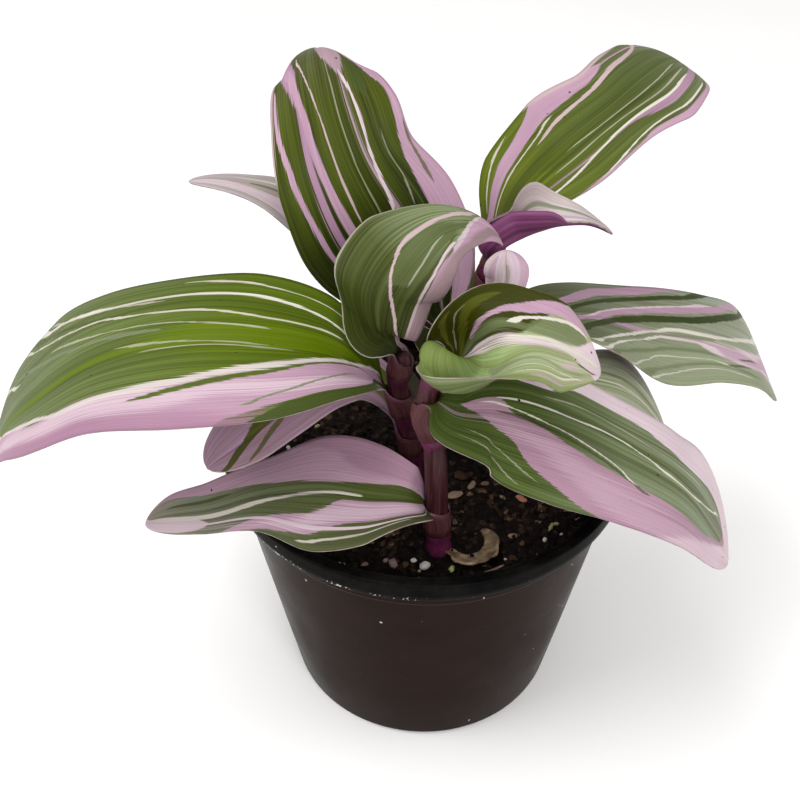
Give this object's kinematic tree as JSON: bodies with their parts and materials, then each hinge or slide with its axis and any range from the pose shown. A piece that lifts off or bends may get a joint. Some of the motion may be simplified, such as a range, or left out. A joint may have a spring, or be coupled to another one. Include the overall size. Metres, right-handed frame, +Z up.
{
  "type": "potted tradescantia",
  "caption": "Young spiderwort with broad striped leaves on upright stems, rooted in soil in a small round plastic nursery pot that stands on a flat base with drain holes.",
  "frame": {"origin": "centre of the pot's flat base, on the surface that it stands on", "axes": "+Z up along the pot's axis, -Y towards the plant's front, +X to the right seen from the front"},
  "size_m": [0.1913, 0.1211, 0.1618],
  "materials": {
    "pot_plastic": "near-black thin moulded plastic, glossy",
    "soil": "loose dark moist potting mix with bits of bark and white perlite",
    "stem": "smooth fleshy maroon skin, satin",
    "leaf": "smooth fleshy leaf, green, cream and pink stripes above and purple below, satin"
  },
  "bodies": {
    "root": {"pot": "pot_plastic", "soil": "soil", "stem_front": "stem", "stem_left": "stem", "stem_back": "stem", "stem_right": "stem", "leaf_left_low": "leaf", "leaf_right_low": "leaf", "leaf_funnel": "leaf", "leaf_left_behind": "leaf", "leaf_left_big": "leaf", "leaf_hood": "leaf", "leaf_far_left": "leaf", "leaf_right_under": "leaf", "leaf_back_left": "leaf", "leaf_tall": "leaf", "leaf_young_pale": "leaf", "leaf_back_right": "leaf", "leaf_right_back": "leaf", "leaf_top_right": "leaf", "leaf_young_rolled": "leaf"}
  },
  "joints": []
}
